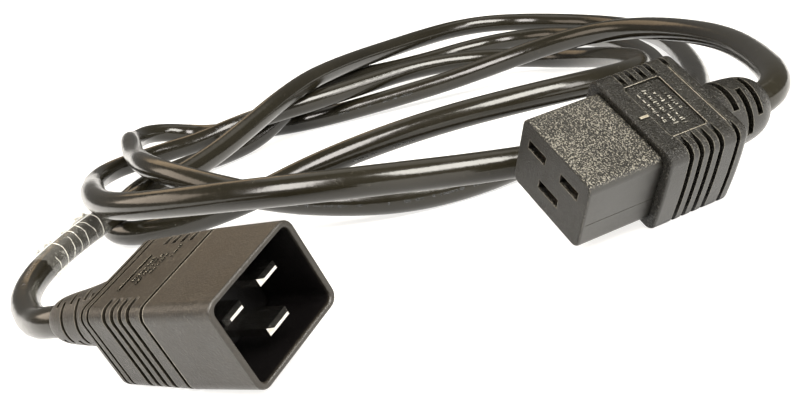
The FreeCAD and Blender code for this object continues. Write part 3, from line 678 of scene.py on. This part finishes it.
def marking():
    """Worn dashes, no characters: from distance, to distance, angle round the cord, height."""
    verts, faces = [], []
    rr = random.Random(31)
    runs = ((0.290, 0.328, 176.4, 0.0011), (0.662, 0.722, 2.0, 0.0009), (0.984, 1.002, -163.0, 0.0011),
            (1.392, 1.412, -38.0, 0.0010), (1.779, 1.793, 142.0, 0.0011), (2.833, 2.856, 100.0, 0.0013))
    for s0, s1, deg, high in runs:
        s = s0
        while s < s1:
            ln = rr.choice((0.0005, 0.0007, 0.0009, 0.0012, 0.0018))
            hh = high * rr.uniform(0.55, 1.0)
            off = rr.uniform(-0.12, 0.12) * high
            if rr.random() < 0.84:
                n, m2 = max(2, int(ln / 0.0005)), 3
                b = len(verts)
                for i in range(n + 1):
                    p, t, side, up = around(s + ln * i / n)
                    for j in range(m2 + 1):
                        th = math.radians(deg) + (off + hh * (j / m2 - 0.5)) / (CORD_D / 2)
                        verts.append(p + (side * math.cos(th) + up * math.sin(th)) * (CORD_D / 2 + 0.00004))
                for i in range(n):
                    for j in range(m2):
                        a = b + i * (m2 + 1) + j
                        faces.append((a, a + 1, a + m2 + 2, a + m2 + 1))
            s += ln + rr.choice((0.0003, 0.0004, 0.0006, 0.0014))
    return add_mesh("jacket_marking", verts, faces, print_material())


film_o = film()
folds_o = film_folds()
mark_o = marking()
for o, sl in ((film_o, "clear_film"), (folds_o, "clear_film"), (mark_o, "cord_pvc")):
    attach(o, "root")
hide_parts("cord_film")


# ------------------------------------------------------------------ moulded marks on the grips
def blocks(name, items, place, axes, mat):
    """Small raised bars with rounded edges: (u, a, length, width, turn) on the face at v."""
    bm = bmesh.new()
    for u, v, a, lu, la, h, turn in items:
        g = bmesh.ops.create_cube(bm, size=1.0)
        vs_ = g["verts"]
        c, sn = math.cos(turn), math.sin(turn)
        for q in vs_:
            x, y, z = q.co.x * lu, q.co.y * h, q.co.z * la
            x, z = x * c - z * sn, x * sn + z * c
            q.co = place(u + x, v + y, a + z)
        es = list({e for q in vs_ for e in q.link_edges})
        bmesh.ops.bevel(bm, geom=es, offset=0.00006, segments=2, affect="EDGES", profile=0.5)
    bmesh.ops.recalc_face_normals(bm, faces=bm.faces)
    me = bpy.data.meshes.new(name)
    bm.to_mesh(me)
    bm.free()
    for p in me.polygons:
        p.use_smooth = True
    me.materials.append(mat)
    o = bpy.data.objects.new(name, me)
    bpy.context.collection.objects.link(o)
    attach(o, "root")
    return o


def dashes(seed, rows, u0, u1, v, h, wide):
    """Rows of short bars of mixed length, standing for a block of moulded marking."""
    rr = random.Random(seed)
    out = []
    for a, f0, f1 in rows:
        u = u0 + (u1 - u0) * f0
        stop = u0 + (u1 - u0) * f1
        while u < stop:
            ln = rr.choice((0.32, 0.45, 0.6, 0.9, 1.25))
            if rr.random() < 0.5:
                out.append((u + ln / 2, v, a + rr.uniform(-0.18, 0.18), ln, 0.30, h, 0.0))
                if rr.random() < 0.6:
                    out.append((u + ln / 2, v, a + wide * rr.choice((-0.33, 0.33)), ln * rr.uniform(0.5, 1.0), 0.26, h, 0.0))
            else:
                out.append((u + 0.15, v, a, 0.28, wide * rr.uniform(0.55, 1.0), h, rr.uniform(-0.25, 0.25)))
                ln = 0.35
            u += ln + rr.choice((0.28, 0.4, 0.75))
    return out


C19_FACE_V = -12.5
C20_FACE_V = -11.62
LINE = C19_FACE_V - 0.02
edges19 = [(1.62, C19_FACE_V - 0.37, 23.8, 0.75, 2.4, 0.12, 0.0),
           (0.3, LINE, 36.68, 18.4, 0.13, 0.10, 0.0), (-9.22, LINE, 31.1, 0.13, 10.2, 0.10, 0.0),
           (9.82, LINE, 31.1, 0.13, 10.2, 0.10, 0.0), (0.3, LINE, 41.02, 22.0, 0.13, 0.10, 0.0)]
lines19 = blocks("c19_lines", edges19, at19, AX19, MAT["c20_marks"])
marks19 = blocks("c19_marks", dashes(5, ((27.8, 0.05, 0.80), (30.0, 0.0, 0.95), (32.2, 0.12, 1.0), (34.4, 0.22, 0.70)), -6.6, 7.2,
                                     C19_FACE_V + 0.45 - 0.08, 0.34, 1.25), at19, AX19, MAT["c19_marks"])


def c20_face_v(a):
    t = (a - 21.6) / (47.2 - 21.6)
    return -(23.8 + (22.9 - 23.8) * t) / 2


items = dashes(11, ((34.9, 0.18, 0.72), (33.0, 0.10, 0.80), (31.1, 0.34, 0.78), (29.0, 0.72, 1.0)), -6.5, 8.5, 0.0, 0.30, 1.15)
items = [(u, c20_face_v(a) - 0.03, a, lu, la, h, tn) for u, v, a, lu, la, h, tn in items]
items.append((-0.6, c20_face_v(37.5) - 0.02, 37.42, 12.4, 0.32, 0.44, 0.0))
marks20 = blocks("c20_marks", items, at20, AX20, MAT["c20_marks"])


# ------------------------------------------------------------------ floor and lights
def stage_floor():
    me = bpy.data.meshes.new("floor")
    bm = bmesh.new()
    prof = [(1.5, 0.0), (0.0, 0.0), (-0.8, 0.0), (-1.5, 0.0)]
    rows = []
    for x, z in prof:
        rows.append([bm.verts.new((x, y, z)) for y in (-1.6, 1.6)])
    for a, b in zip(rows, rows[1:]):
        bm.faces.new((a[0], a[1], b[1], b[0]))
    bm.to_mesh(me)
    bm.free()
    o = bpy.data.objects.new("floor", me)
    bpy.context.collection.objects.link(o)
    for p in me.polygons:
        p.use_smooth = True
    # turned to face the camera
    o.rotation_euler = (0, 0, math.atan2(-0.3812, 0.8899))
    k = Mat("floor_paper").set(IOR=1.3, Specular_IOR_Level=0.0, Emission_Color=(1.0, 0.99, 0.97), Emission_Strength=0.80)
    n1 = k.noise(9.0, 3.0, 0.5)
    c = k.ramp(n1, [(0.3, (0.37, 0.366, 0.355)), (0.7, (0.39, 0.386, 0.375))])
    me.materials.append(k.out(c, k.range(n1, 0.3, 0.7, 0.85, 0.95), k.bump(k.noise(900.0, 2.0), 0.03, 0.0001)))
    return o


def far_floor():
    """The same white floor further out, which the object does not reflect."""
    me = bpy.data.meshes.new("far_floor")
    bm = bmesh.new()
    rows = [[bm.verts.new((x, y, -0.004)) for y in (-30.0, 30.0)] for x in (-40.0, 30.0)]
    bm.faces.new((rows[1][0], rows[0][0], rows[0][1], rows[1][1]))
    bm.to_mesh(me)
    bm.free()
    o = bpy.data.objects.new("far_floor", me)
    bpy.context.collection.objects.link(o)
    k = Mat("far_paper").set(Specular_IOR_Level=0.0, Emission_Color=(1.0, 0.995, 0.985), Emission_Strength=1.0)
    n1 = k.noise(0.6, 2.0, 0.5)
    me.materials.append(k.out(k.ramp(n1, [(0.3, (0.37, 0.366, 0.355)), (0.7, (0.39, 0.386, 0.375))])))
    o.visible_glossy = False
    o.visible_diffuse = False
    o.visible_shadow = False
    return o


stage_floor()
far_floor()

HUB = Vector((-0.10, 0.0, 0.02))


def softbox(name, az, el, dist, sx, sy, radiance, color):
    """A soft lamp looking at the middle of the coil, set by its brightness as seen from there."""
    a, e = math.radians(az), math.radians(el)
    pos = HUB + Vector((math.cos(e) * math.cos(a), math.cos(e) * math.sin(a), math.sin(e))) * dist
    d = bpy.data.lights.new(name, "AREA")
    d.shape = "RECTANGLE"
    d.size, d.size_y = sx, sy
    d.energy = radiance * math.pi * sx * sy
    d.color = color
    o = bpy.data.objects.new(name, d)
    bpy.context.collection.objects.link(o)
    o.location = pos
    back = (pos - HUB).normalized()
    across = Vector((0, 0, 1)).cross(back).normalized()
    o.matrix_world = Matrix(((across.x, back.cross(across).x, back.x, pos.x),
                             (across.y, back.cross(across).y, back.y, pos.y),
                             (across.z, back.cross(across).z, back.z, pos.z),
                             (0, 0, 0, 1)))
    return o


softbox("lamp_left", -66, 37, 1.6, 0.62, 0.98, 17.0, (1.0, 0.95, 0.905))
softbox("lamp_right", 12, 42, 1.6, 1.36, 0.90, 19.0, (1.0, 0.965, 0.895))
softbox("side_right", 38, 16, 1.4, 0.40, 0.52, 10.0, (1.0, 0.96, 0.92))
softbox("side_left", -130, 25, 1.2, 0.80, 0.50, 3.2, (1.0, 0.84, 0.68))
softbox("ceiling", 140, 62, 1.9, 1.8, 1.2, 0.8, (1.0, 0.95, 0.86))
softbox("wall", 176, 30, 2.0, 0.9, 0.7, 1.3, (1.0, 0.72, 0.44))

world = bpy.data.worlds.new("studio")
bpy.context.scene.world = world
world.use_nodes = True
bg = world.node_tree.nodes["Background"]
bg.inputs["Color"].default_value = (1.0, 0.965, 0.91, 1.0)
bg.inputs["Strength"].default_value = 0.18

vs = bpy.context.scene.view_settings
vs.view_transform = "Standard"
vs.look = "None"
vs.exposure = 0.0

# ------------------------------------------------------------------ finish
bpy.context.view_layer.update()
